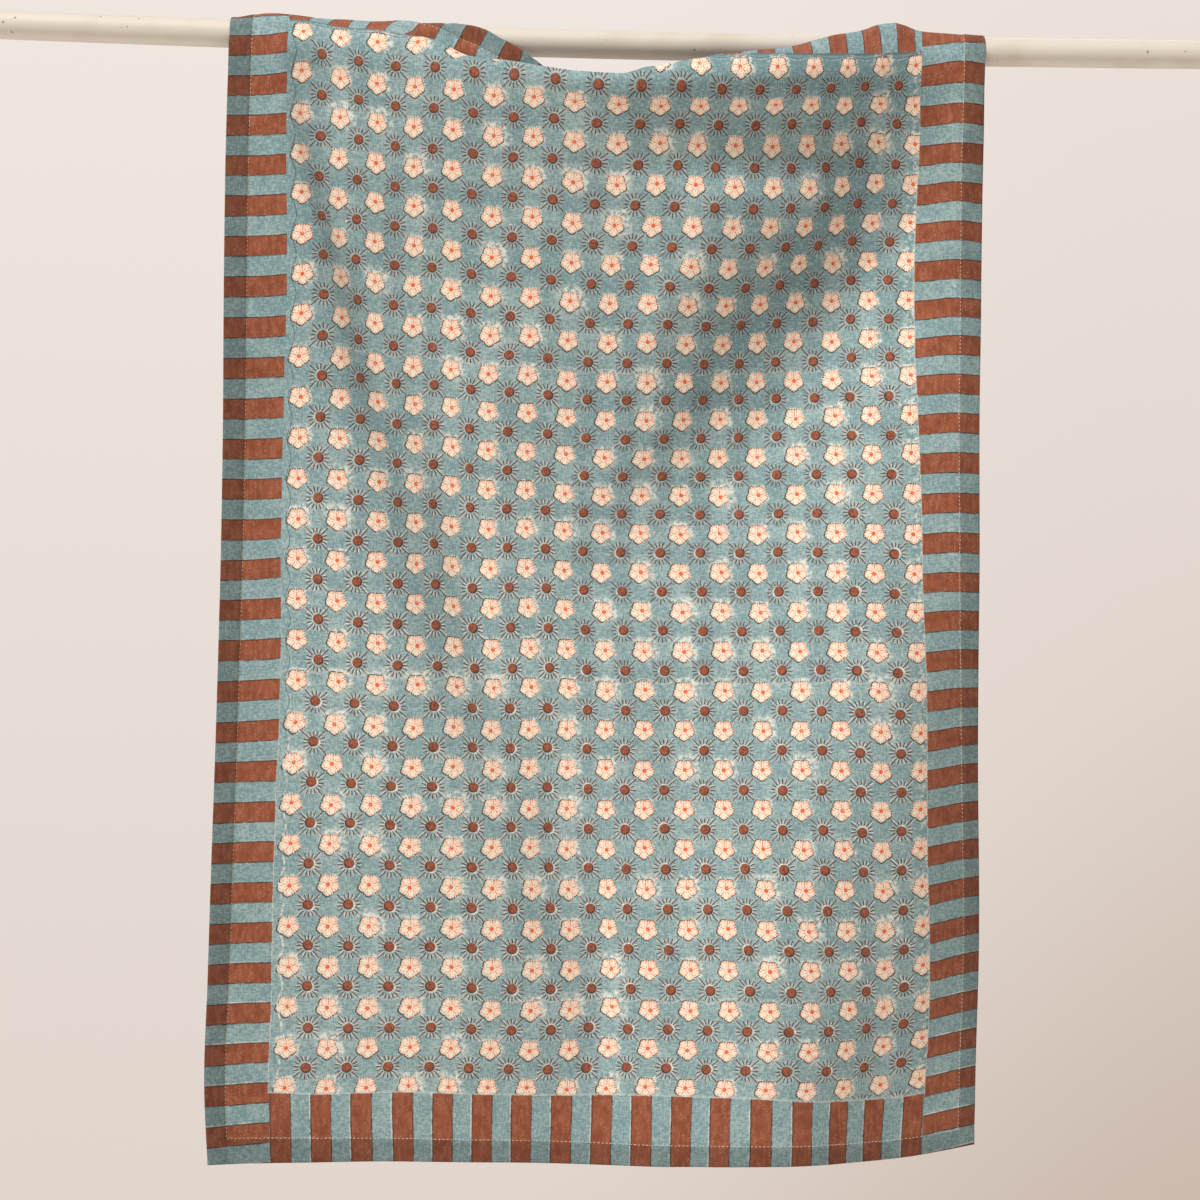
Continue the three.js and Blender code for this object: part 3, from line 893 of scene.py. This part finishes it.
def print_flowers(colour, across, down, grain, patches, spread):
    """Cream five-petalled blossoms with coral veins, a dark edge off register and bleached halos."""
    x, y, block, own = nearest_motif(across, down, FIRST_FLOWER, 11.5)
    distance, petal, outline = flower_outline(x, y)
    beyond = distance - outline

    # Bleach that has crept out of the blossom
    halo_reach = own[0] * own[0] * 7 + patches * 3 - 0.6
    side = (x - y) * 0.06 + 0.75
    halo = beyond.fall(-0.5, halo_reach.most(0.6)) * spread.rise(0.4, 0.64) * side
    colour = mixed(halo.least(0.75), colour, BLEACHED)

    # The cream blossom and its coral drawing
    inside = beyond.fall(-0.14, 0.14)
    flush = ((x - y) * 0.05 + 0.1).most(0.0) * grain.rise(0.36, 0.6) * 0.6
    colour = mixed(inside, colour, mixed(flush, CREAM, CORAL))
    drawn_distance, drawn_petal, drawn_outline = flower_outline(
        x - (block[1] - 0.5) * 0.8, y - (block[0] - 0.5) * 0.8
    )
    drawn = drawn_outline - drawn_distance
    rim = (drawn - 0.4).size().fall(0.14, 0.4) * grain.rise(0.4, 0.56)
    share = drawn_petal.size()
    far = drawn_distance
    veins = ray_line(share, 0.5, far, 0.4) * far.rise(1.4, 2.0) * drawn.rise(0.2, 0.7)
    inner = ray_line(share, 0.0, far, 0.3) * far.rise(1.4, 1.9) * far.fall(2.8, 3.8)
    outer = ray_line(share, 0.25, far, 0.34) * drawn.rise(0.2, 0.5) * drawn.fall(1.6, 2.6)
    tip = ray_line(share, 0.0, far, 0.3) * drawn.rise(0.2, 0.5) * drawn.fall(1.1, 1.8)
    ink = (rim * 0.85).most(veins * 0.9).most(inner * 0.8).most(outer * 0.8).most(tip * 0.8)
    eye_x = x - (block[0] - 0.5) * 1.3
    eye_y = y - (own[1] - 0.5) * 0.9
    eye = radius(eye_x, eye_y).fall(1.2, 1.6)
    wear = grain.rise(0.24, 0.42)
    colour = mixed(ink.most(eye) * inside * wear, colour, CORAL)

    # The dark outline, off register
    shadow_x = x - (block[2] - 0.9) * 0.9
    shadow_y = y - (block[1] - 0.15) * 0.8
    shadow_distance, _, shadow_outline = flower_outline(shadow_x, shadow_y, 0.1)
    line = (shadow_distance - shadow_outline - 0.05).size().fall(0.24, 0.6)
    outside = beyond.rise(-0.45, 0.0)
    return mixed(line * outside * grain.rise(0.26, 0.4), colour, SHADOW_INK)


RAYS = 16
RAY_ANGLE = TURN / RAYS
RAY_START = 4.3
RAY_END = 7.6
LONG_RAY_EXTRA = 2.8
DISC_RADIUS = 3.35
# Rays and discs are printed from here to here, in millimetres across, and from the same line down
SUNS_FROM = 46
SUNS_TO = 462


def print_suns(colour, across, down, grain, spread):
    """Brown discs in rings of short rays, the diagonal ones longer, with pale slips of register."""
    x, y, block, own = nearest_motif(across, down, FIRST_SUN, 23.5)
    distance = radius(x, y)
    turn = y.math("ARCTAN2", x) / RAY_ANGLE + RAYS + 0.5
    ray = turn.floor()
    aside = (turn.fract() - 0.5) * distance * RAY_ANGLE
    long_ray = ((ray / 4).fract() * 4 - 2).size().fall(0.3, 0.6)
    length = draw(point(ray, own[0] * 50, 7.5))
    end = long_ray * LONG_RAY_EXTRA + length[0] * 0.7 + (RAY_END - 0.35)
    start = length[1] * 0.5 + (RAY_START - 0.4)
    span = (distance - start).rise(0.0, 0.35) * (distance - end).fall(-0.3, 0.05)
    slip = (block[1] - 0.5) * 1.7
    pale = (aside - slip).size().fall(0.25, 0.6) * span
    line = aside.size().fall(0.26, 0.5) * span
    disc_x = x - (block[0] - 0.5) * 1.3
    disc_y = y - (block[2] - 0.5) * 1.3
    disc_distance = radius(disc_x, disc_y)
    bare = radius(disc_x + (block[0] - 0.5) * 2 - 0.3, disc_y + (block[2] - 0.5) * 2 + 0.3)
    ring = bare.fall(DISC_RADIUS, DISC_RADIUS + 0.4)
    printed = across.rise(SUNS_FROM, SUNS_FROM + 1) * across.fall(SUNS_TO, SUNS_TO + 1)
    printed = printed * down.rise(SUNS_FROM, SUNS_FROM + 1)
    faded = spread.rise(0.36, 0.56) * printed * (down.rise(120, 480) * 0.55 + 0.25)
    colour = mixed(pale.most(ring) * faded * grain.rise(0.3, 0.5), colour, BLEACHED)
    ink = mixed(length[2] * grain.rise(0.3, 0.7), RAY, RAY_WARM)
    colour = mixed(line * grain.rise(0.16, 0.36) * printed, colour, ink)
    disc = disc_distance.fall(DISC_RADIUS - 0.12, DISC_RADIUS + 0.16) * printed
    speckle = mixed(grain.rise(0.54, 0.7) * 0.4, DISC, BROWN_PALE)
    speckle = mixed(grain.fall(0.36, 0.5) * 0.6, speckle, DISC_EDGE)
    lopsided = disc_x * (block[0] - 0.5) * 0.5 + disc_y * 0.16
    rim = (disc_distance + lopsided).rise(DISC_RADIUS - 1.2, DISC_RADIUS + 0.2)
    disc_colour = mixed(rim * 0.8, speckle, DISC_EDGE)
    return mixed(disc, colour, disc_colour)


# How many rows below the first one the blocks meet
JOINT_ROW = 7.25


def print_block_joints(colour, across, down, grain, fine):
    """A pale broken wave where one printed block meets the next, along the rows."""
    block_height = PITCH * BLOCK_ROWS
    from_joint = down - (FIRST_SUN[1] + PITCH * JOINT_ROW)
    nearest = ((from_joint / block_height + 0.5).fract() - 0.5) * block_height
    arch = ripple(across - FIRST_FLOWER[0], PITCH) * -1.7
    line = (nearest - arch).size().fall(0.25, 0.75)
    return mixed(line * fine.rise(0.42, 0.6) * grain.rise(0.35, 0.5) * 0.55, colour, BLEACHED)


STRIPE_HALF = 6.45


def print_stripes(colour, run, down, grain, fine, streaks, wash):
    """Brown stripes on the ground, one each pitch, with dark and pale slips along their edges."""
    aside = ((run / PITCH + 0.5).fract() - 0.5) * PITCH
    off = aside.size() - STRIPE_HALF + (grain - 0.5) * 0.4
    brown = mixed(wash.rise(0.35, 0.65) * 0.8, BROWN, BROWN_DEEP)
    rubbed = fine.rise(0.48, 0.66) * streaks.rise(0.4, 0.64)
    brown = mixed(rubbed * 0.7, brown, BROWN_PALE)
    pale_off = (aside + 0.7).size() - STRIPE_HALF
    pale = pale_off.size().fall(0.2, 0.5) * wash.rise(0.4, 0.54) * fine.rise(0.32, 0.48)
    colour = mixed(pale * (down.rise(600, 700) * 0.5 + 0.12), colour, BLEACHED)
    colour = mixed(off.fall(-0.1, 0.12), colour, brown)
    edge_off = (aside - 0.2).size() - STRIPE_HALF + (grain - 0.5) * 0.3
    edge = edge_off.size().fall(0.2, 0.54) * (wash.fall(0.42, 0.56) * 0.4 + 0.55)
    return mixed(edge, colour, OUTLINE)


def map_place(tree, name, reverse):
    """Places on the flat cloth, in millimetres across and down."""
    node = tree.nodes.new("ShaderNodeUVMap")
    node.uv_map = name
    across, down, _ = split(Number(tree, node.outputs["UV"]))
    if reverse:
        across = across - REVERSE_OFFSET
    return across * MAP_SIZE, down * MAP_SIZE


# Bands of painted shade under the top fold, along the diagonal crease and down the field's left edge,
# partly deeper dye: from and to (across, down), how wide and how deep
SHADE_AND_DYE_BANDS = (
    ((275, 56), (450, 58), 34, 0.75),
    ((425, 130), (318, 262), 38, 0.75),
    ((44, 50), (50, 330), 24, 0.4),
)


def soft_band(across, down, start, end, width):
    """1 along a line on the cloth, falling softly to 0 at this distance from it."""
    along_u, along_v = end[0] - start[0], end[1] - start[1]
    square = along_u * along_u + along_v * along_v
    travel = (across - start[0]) * (along_u / square) + (down - start[1]) * (along_v / square)
    travel = travel.most(0.0).least(1.0)
    off_u = across - start[0] - travel * along_u
    off_v = down - start[1] - travel * along_v
    return radius(off_u, off_v).fall(0.0, width)


def mix_numbers(share, first, second):
    return share * (second - first) + first


def shaken(place, across, down, wide_layer, small_layer):
    """A place in the print with the small unevenness of a block pressed by hand."""
    wide = noise(point(across, down, wide_layer), 0.022, 1) - 0.5
    small = noise(point(across, down, small_layer), 0.55, 1) - 0.5
    return place + wide * 1.6 + small * 0.4


def ground_colour(across, down, fine, patches, wash):
    """The mottled dyed ground, with its threads, bands of painted shade that are partly deeper dye, and
    small bare nicks.
    """
    warp_grain = noise(point(across, down * 0.3, 97.0), 1.0, 1)
    weft_grain = noise(point(across * 0.3, down, 98.0), 1.0, 1)
    woven = (warp_grain + weft_grain) * 0.5
    ground = mixed(wash.rise(0.25, 0.65) * 0.6 + 0.4, GROUND_DEEP, GROUND)
    # Patches darker towards the top: partly patchy dye, partly painted shade of the upper folds
    deeper_patches_and_shade_above = down.fall(240, 460) * 0.3 + 0.3
    ground = mixed(patches.fall(0.34, 0.6) * deeper_patches_and_shade_above, ground, GROUND_DEEP)
    ground = mixed(patches.rise(0.42, 0.7) * wash.rise(0.4, 0.6) * 0.35, ground, GROUND_PALE)
    # Painted shade, partly deeper dye, along each band
    for start, end, width, depth in SHADE_AND_DYE_BANDS:
        ground = mixed(soft_band(across, down, start, end, width) * depth, ground, GROUND_DEEP)
    ground = mixed(woven.fall(0.4, 0.5) * 0.75, ground, GROUND_DEEP)
    ground = mixed(woven.rise(0.5, 0.6) * 0.55, ground, GROUND_PALE)
    ground = mixed(fine.rise(0.5, 0.7) * 0.25, ground, GROUND_PALE)
    nicks = noise(point(across * 0.8, down * 0.4, 57.0), 0.5, 3, 0.8).rise(0.66, 0.73)
    return mixed(nicks * patches.rise(0.36, 0.56) * 0.75, ground, BLEACHED)


# From here on, across and down, the right and lower borders' stripes take over
HALF_WAY = 250


def stripe_run(across, down, u, v, from_sides):
    """How far along its side of the border a place lies. The stripes lean a little on each side."""
    flowers_down = FIRST_FLOWER[1] + 6.8
    left_run = v - flowers_down + (down / TOWEL_LENGTH) * across * 0.07
    right_run = v - flowers_down + (across - FIELD_RIGHT) * 0.02
    side_run = mix_numbers(across.rise(HALF_WAY, HALF_WAY + 1), left_run, right_run)
    top_lean = u.fall(230, 450) * 0.33 - 0.06
    top_run = u - FIRST_FLOWER[0] - (v * -1 + FIELD_TOP - 14) * top_lean + u.rise(300, 360) * 8.0
    bottom_run = u - FIRST_FLOWER[0] + 3.0
    end_run = mix_numbers(down.rise(HALF_WAY, HALF_WAY + 1), top_run, bottom_run)
    return mix_numbers(from_sides.fall(-0.05, 0.05), end_run, side_run)


def printed_colour(tree, reverse):
    """The whole print: mottled ground, field of motifs, striped border, painted shade along folds and
    edges, and painted shade on the hems.
    """
    across, down = map_place(tree, "cloth", reverse)
    print_across, print_down = map_place(tree, "print", reverse)
    u = shaken(print_across, across, down, 0.0, 40.0)
    v = shaken(print_down, across, down, 80.0, 120.0)
    grain = noise(point(across, down, 7.0), 0.95, 2, 0.6)
    fine = noise(point(across, down, 17.0), 1.9, 1, 0.5)
    patches = noise(point(across, down, 27.0), 0.03, 2, 0.6)
    wash = noise(point(across, down, 37.0), 0.11, 3, 0.65)
    streaks = noise(point(across * 1.4, down * 0.35, 47.0), 0.28, 2, 0.6)
    ground = ground_colour(across, down, fine, patches, wash)

    spread = noise(point(across, down, 67.0), 0.34, 3, 0.7)
    from_left = u - FIELD_LEFT
    from_right = u * -1 + FIELD_RIGHT
    from_top = v - FIELD_TOP
    # Darker ground beside the field's right edge and under its top on the right: painted shade of the
    # receding edge and the top fold, partly dye blotches
    edge_shade_and_blotches = from_right.fall(3.0, 10.0) * spread.fall(0.4, 0.5) * 0.7
    edge_shade_and_blotches = edge_shade_and_blotches.most(from_top.fall(4.0, 13.0) * u.rise(250, 330) * 0.75)
    field = mixed(edge_shade_and_blotches, ground, GROUND_DEEP)
    field = mixed(from_right.fall(2.0, 9.0) * spread.rise(0.52, 0.64) * 0.6, field, BLEACHED)
    field = print_suns(field, u, v, grain, spread)
    field = print_flowers(field, u, v, grain, patches, spread)
    field = print_block_joints(field, u, v, grain, fine)

    bottom_line = u.rise(330, 490) * FIELD_BOTTOM_DROP + FIELD_BOTTOM
    from_bottom = bottom_line - v
    from_ends = from_top.least(from_bottom)
    from_sides = from_left.least(from_right)
    from_border = from_ends.least(from_sides)
    down_wave = ripple(v - FIRST_SUN[1], PITCH) * 1.5 + 4.2
    across_wave = ripple(u - FIRST_SUN[0], PITCH) * 1.0 + 2.6
    ring = (from_left - down_wave).least(from_top - across_wave).size()
    ring = ring.fall(0.16, 0.6) * grain.rise(0.32, 0.48)
    field = mixed(ring * down.fall(420, 640) * 0.8, field, RING_INK)
    pale_ring = (from_left - down_wave - 0.8).size().fall(0.3, 1.1) * spread.rise(0.44, 0.6)
    field = mixed(pale_ring * down.rise(380, 560) * 0.7, field, BLEACHED)
    strip = from_bottom.fall(1.0, 1.4) * fine.rise(0.35, 0.5)
    field = mixed(strip * 0.5, field, GROUND_PALE)

    run = stripe_run(across, down, u, v, from_sides)
    border_ground = mixed(from_border.fall(-0.06, 0.06) * 0.08, ground, GROUND_DEEP)
    border = print_stripes(border_ground, run, down, grain, fine, streaks, wash)
    colour = mixed(from_border.fall(-0.06, 0.06), field, border)
    inner_edge = (from_border + 0.15).size().fall(0.15, 0.45) * grain.rise(0.34, 0.55)
    inner_edge = inner_edge * mix_numbers(down.rise(60, 140), 0.1, 0.5)
    inner_edge = inner_edge * down.rise(300, 600).most(across.rise(50, 60))
    colour = mixed(inner_edge, colour, BLEACHED)
    top_edge = (from_top - 0.5).size().fall(0.5, 1.0) * from_sides.rise(0.0, 0.5)
    colour = mixed(top_edge * 0.5, colour, OUTLINE)

    # Painted shade on the hems, stronger on the left, where the doubled cloth lets less light through
    # and turns away
    left, right, top, bottom = inside_stitching(across, down)
    hem_painted_shade = right.least(top).least(bottom).fall(-0.4, 0.3) * 0.36
    hem_painted_shade = hem_painted_shade.most(left.fall(-0.4, 0.3) * 0.46)
    colour = mixed(hem_painted_shade, colour, HEM_SHADE, "MULTIPLY")
    inset = left.least(right).least(top).least(bottom)
    return colour, grain, across, down, inset


# One thread over and one under, in millimetres
THREAD_PAIR = 0.62


def weave_height(across, down, grain):
    """Plain weave: warp and weft threads that pass over each other."""
    return ripple(across, THREAD_PAIR) * ripple(down, THREAD_PAIR) * 0.25 + grain * 0.9


def bumped(height, strength, distance):
    """The surface's direction over low relief. The distance is in metres."""
    node = height.tree.nodes.new("ShaderNodeBump")
    node.inputs["Strength"].default_value = strength
    node.inputs["Distance"].default_value = distance
    plug(height.tree, height, node.inputs["Height"])
    return Number(height.tree, node.outputs["Normal"])


def set_surface(tree, settings):
    """Sets the named inputs of a material's surface."""
    surface = tree.nodes["Principled BSDF"]
    for name, value in settings.items():
        plug(tree, value, surface.inputs[name])


def finish_cloth(tree, colour, across, down, grain):
    set_surface(tree, {
        "Base Color": colour,
        "Roughness": 0.92,
        "Specular IOR Level": 0.18,
        "Sheen Weight": 0.12,
        "Sheen Roughness": 0.6,
        "Normal": bumped(weave_height(across, down, grain), 0.5, 0.00022),
    })


def object_place(tree):
    """A place in its object's own metres."""
    return Number(tree, tree.nodes.new("ShaderNodeTexCoord").outputs["Object"])


def new_material(name, viewport):
    material = bpy.data.materials.new(name)
    material.use_nodes = True
    material.diffuse_color = viewport
    return material, material.node_tree


def make_print_material():
    material, tree = new_material("printed_cotton", GROUND)
    colour, grain, across, down, _ = printed_colour(tree, False)
    finish_cloth(tree, colour, across, down, grain)
    return material


REVERSE_GROUND = paint(186, 198, 192)


def make_reverse_material():
    """The back of the cloth: the print shows through, faint. The turned hems show the printed side."""
    material, tree = new_material("reverse_cotton", REVERSE_GROUND)
    colour, grain, across, down, inset = printed_colour(tree, True)
    faint = mixed(grain.rise(0.35, 0.7) * 0.15 + 0.62, colour, REVERSE_GROUND)
    colour = mixed(inset.fall(-0.9, -0.4), faint, colour)
    finish_cloth(tree, colour, across, down, grain)
    return material


THREAD = paint(216, 212, 194)
THREAD_GOLD = paint(186, 168, 104)
THREAD_SHADE = paint(150, 140, 120)


def make_thread_material():
    """Cream thread, with yellower stretches."""
    material, tree = new_material("cotton_thread", THREAD)
    place = object_place(tree)
    stretch = noise(place, 14, 1).rise(0.58, 0.66)
    x, y, z = split(place)
    twist = (x * 5200 + z * 5200 + y * 3000).wave()
    gold = (stretch * 0.6).most(x.fall(-0.22, -0.21) * z.fall(-0.08, -0.05) * 0.75)
    colour = mixed(gold, THREAD, THREAD_GOLD)
    colour = mixed(twist.fall(-1.0, 0.2) * 0.35, colour, THREAD_SHADE)
    set_surface(tree, {"Base Color": colour, "Roughness": 0.8, "Specular IOR Level": 0.3})
    return material


ROD_PAINT = paint(213, 205, 194)
ROD_PAINT_WORN = paint(196, 183, 166)
ROD_CHIP = paint(128, 108, 88)


def make_rod_material():
    """Cream paint, a little yellowed and rubbed, with tiny chips and brush lines along the rod."""
    material, tree = new_material("cream_paint", ROD_PAINT)
    place = object_place(tree)
    x, y, z = split(place)
    worn = noise(place, 22, 3, 0.6)
    brush = noise(point(x * 12, y * 260, z * 260), 1.0, 2)
    chips = noise(place, 240, 2, 0.5)
    where = noise(place, 30, 1)
    colour = mixed(worn.rise(0.45, 0.72) * 0.45, ROD_PAINT, ROD_PAINT_WORN)
    chipped = chips.rise(0.7, 0.73) * where.rise(0.5, 0.6)
    colour = mixed(chipped * 0.8, colour, ROD_CHIP)
    set_surface(tree, {
        "Base Color": colour,
        "Roughness": worn * 0.25 + 0.42,
        "Specular IOR Level": 0.35,
        "Normal": bumped(brush * 0.5 + chipped * -0.6 + worn * 0.5, 0.35, 0.0003),
    })
    return material


# Stage and light

WALL_BRIGHT = paint(240, 231, 224)
WALL_DIM = paint(205, 188, 176)
FLOOR_HEIGHT = -2.1
FLOOR_HALF = 9.0
BACKDROP_DEPTH = 4.0
BACKDROP_HALF = 3.0
SURROUNDINGS = paint(240, 236, 232)
AMBIENT = 0.36
LIGHT_TARGET = Vector((0, 0, -0.36))
KEY_DISTANCE = 16
KEY_TOWARDS = Vector((-0.39, -0.46, 0.79))
KEY_SIZE = 4.4
KEY_POWER = 2700
KEY_COLOUR = (1, 0.97, 0.93)
FILL_PLACE = Vector((1.2, 2.6, 1.4))
FILL_SIZE = 2.0
FILL_POWER = 30
FILL_COLOUR = (1, 0.98, 0.96)


def square_corners(half):
    return ((-half, -half), (half, -half), (half, half), (-half, half))


def make_plane(name, corners, material):
    item = add_object(name, np.array(corners) / MM, [(0, 1, 2, 3)], (material,))
    return item


def make_stage():
    """A pale floor well below and a pale backdrop far behind, which glows, with painted shade towards
    its bottom and right and a painted shadow towards its lower right corner.
    """
    floor_material, tree = new_material("pale_floor", WALL_DIM)
    set_surface(tree, {"Base Color": WALL_BRIGHT, "Roughness": 0.9})
    corners = [(x, y, FLOOR_HEIGHT) for x, y in square_corners(FLOOR_HALF)]
    make_plane("floor", corners, floor_material)

    wall_material, tree = new_material("glowing_backdrop", WALL_BRIGHT)
    tree.nodes.remove(tree.nodes["Principled BSDF"])
    x, _, z = split(object_place(tree))
    # Painted light on the glowing backdrop: shade falling off downward and to the right, and a painted
    # shadow towards the lower right corner
    falloff_downward = (z * -1 + 0.88) * 0.18
    falloff_rightward = x.rise(-0.2, 1.2) * 0.17
    shadow_corner = (x - z).rise(1.3, 3.0) * 0.42
    colour = mixed((falloff_downward + falloff_rightward + shadow_corner).least(1.0), WALL_BRIGHT, WALL_DIM)
    glow = tree.nodes.new("ShaderNodeEmission")
    plug(tree, colour, glow.inputs["Color"])
    tree.links.new(glow.outputs[0], tree.nodes["Material Output"].inputs["Surface"])
    corners = [(x, BACKDROP_DEPTH, z) for x, z in square_corners(BACKDROP_HALF)]
    backdrop = make_plane("backdrop", corners, wall_material)
    backdrop.visible_diffuse = False
    backdrop.visible_glossy = False


def make_area_light(name, place, size, power, colour):
    data = bpy.data.lights.new(name, "AREA")
    data.shape = "DISK"
    data.size = size
    data.energy = power
    data.color = colour
    light = bpy.data.objects.new(name, data)
    light.location = place
    light.rotation_euler = (LIGHT_TARGET - place).to_track_quat("-Z", "Y").to_euler()
    bpy.context.scene.collection.objects.link(light)


def make_light():
    """A soft key from the upper left of the front, a weak fill from behind, and pale surroundings."""
    key_place = LIGHT_TARGET + KEY_TOWARDS * KEY_DISTANCE
    make_area_light("key", key_place, KEY_SIZE, KEY_POWER, KEY_COLOUR)
    make_area_light("rear_fill", FILL_PLACE, FILL_SIZE, FILL_POWER, FILL_COLOUR)
    world = bpy.data.worlds.new("surroundings")
    bpy.context.scene.world = world
    world.use_nodes = True
    background = world.node_tree.nodes["Background"]
    background.inputs["Color"].default_value = SURROUNDINGS
    background.inputs["Strength"].default_value = AMBIENT
    bpy.context.scene.view_settings.view_transform = "Standard"


make_camera()
towel, surface = make_cloth(make_print_material(), make_reverse_material())
stitching = make_stitching(surface, make_thread_material())
rod = make_rod(make_rod_material())

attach(towel, "root")
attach(stitching, "root")
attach(rod, "root")
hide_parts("towel")
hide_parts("rod")

make_stage()
make_light()
